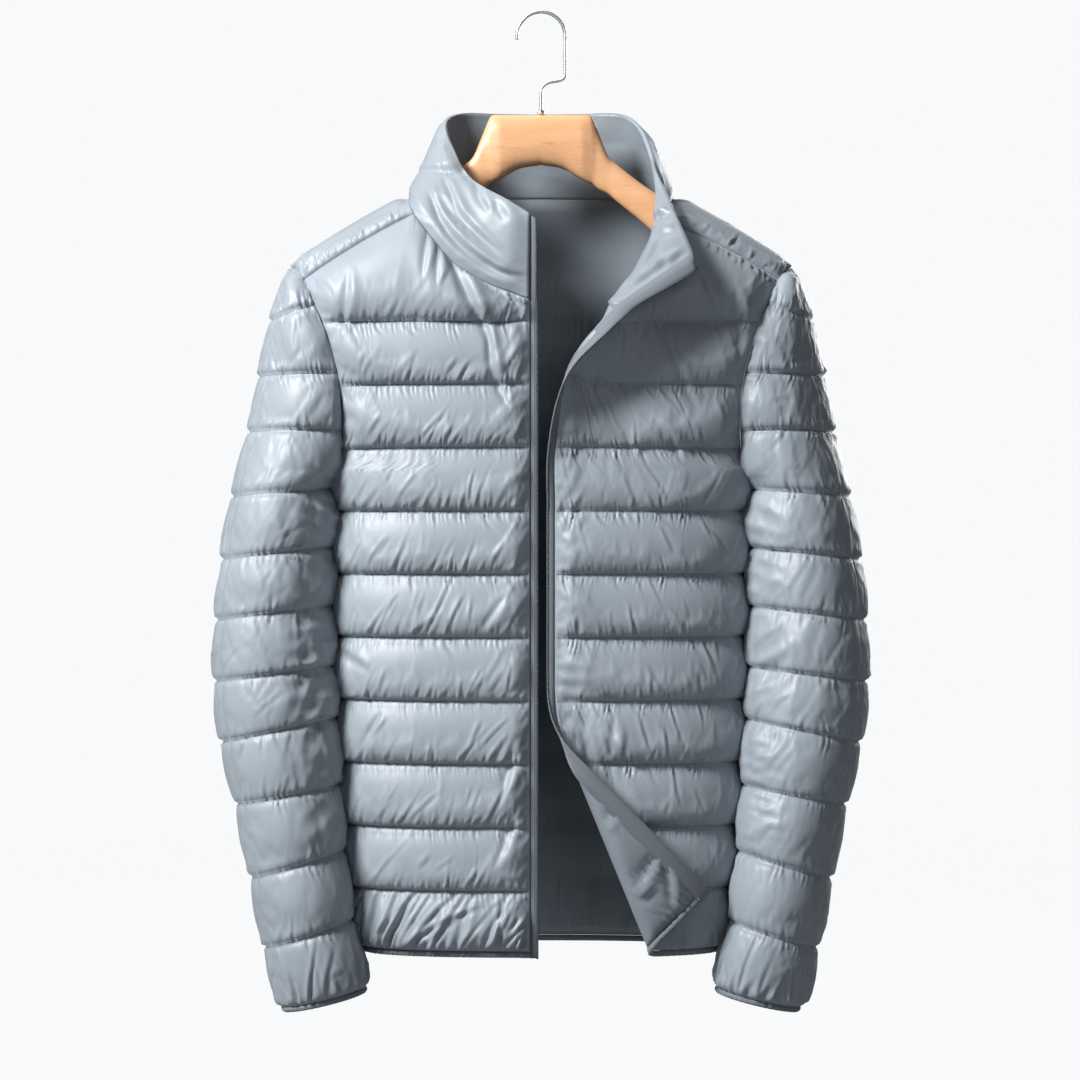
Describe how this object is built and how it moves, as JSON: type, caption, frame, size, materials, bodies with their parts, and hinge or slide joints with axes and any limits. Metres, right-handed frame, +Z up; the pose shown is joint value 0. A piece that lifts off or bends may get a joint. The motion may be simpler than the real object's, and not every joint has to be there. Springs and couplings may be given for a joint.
{
  "type": "puffer jacket on a hanger",
  "caption": "Quilted puffer jacket hanging open on a wooden hanger, with a stand collar, a separated front zip, two-piece sleeves and elastic-bound hem and cuffs.",
  "frame": {"origin": "inside crest of the hanger's hook, where a rail carries it", "axes": "+Z up; -Y is the jacket's front; +X is the wearer's left"},
  "size_m": [0.587, 0.1962, 0.8859],
  "materials": {
    "shell_nylon": "satin calendered nylon",
    "zip_tape": "woven tape with a matte coil",
    "elastic_binding": "matte knitted elastic",
    "hanger_wood": "satin lacquered beech",
    "hook_wire": "bright plated steel wire"
  },
  "bodies": {
    "root": {"front_right": "shell_nylon", "front_left": "shell_nylon", "back": "shell_nylon", "shoulder_right": "shell_nylon", "shoulder_left": "shell_nylon", "sleeve_front_right": "shell_nylon", "sleeve_back_right": "shell_nylon", "sleeve_front_left": "shell_nylon", "sleeve_back_left": "shell_nylon", "collar": "shell_nylon", "zip_tape_right": "zip_tape", "zip_tape_left": "zip_tape", "hem_binding": "elastic_binding", "cuff_binding_right": "elastic_binding", "cuff_binding_left": "elastic_binding", "hanger": "hanger_wood", "hanger_hook": "hook_wire"}
  },
  "joints": []
}
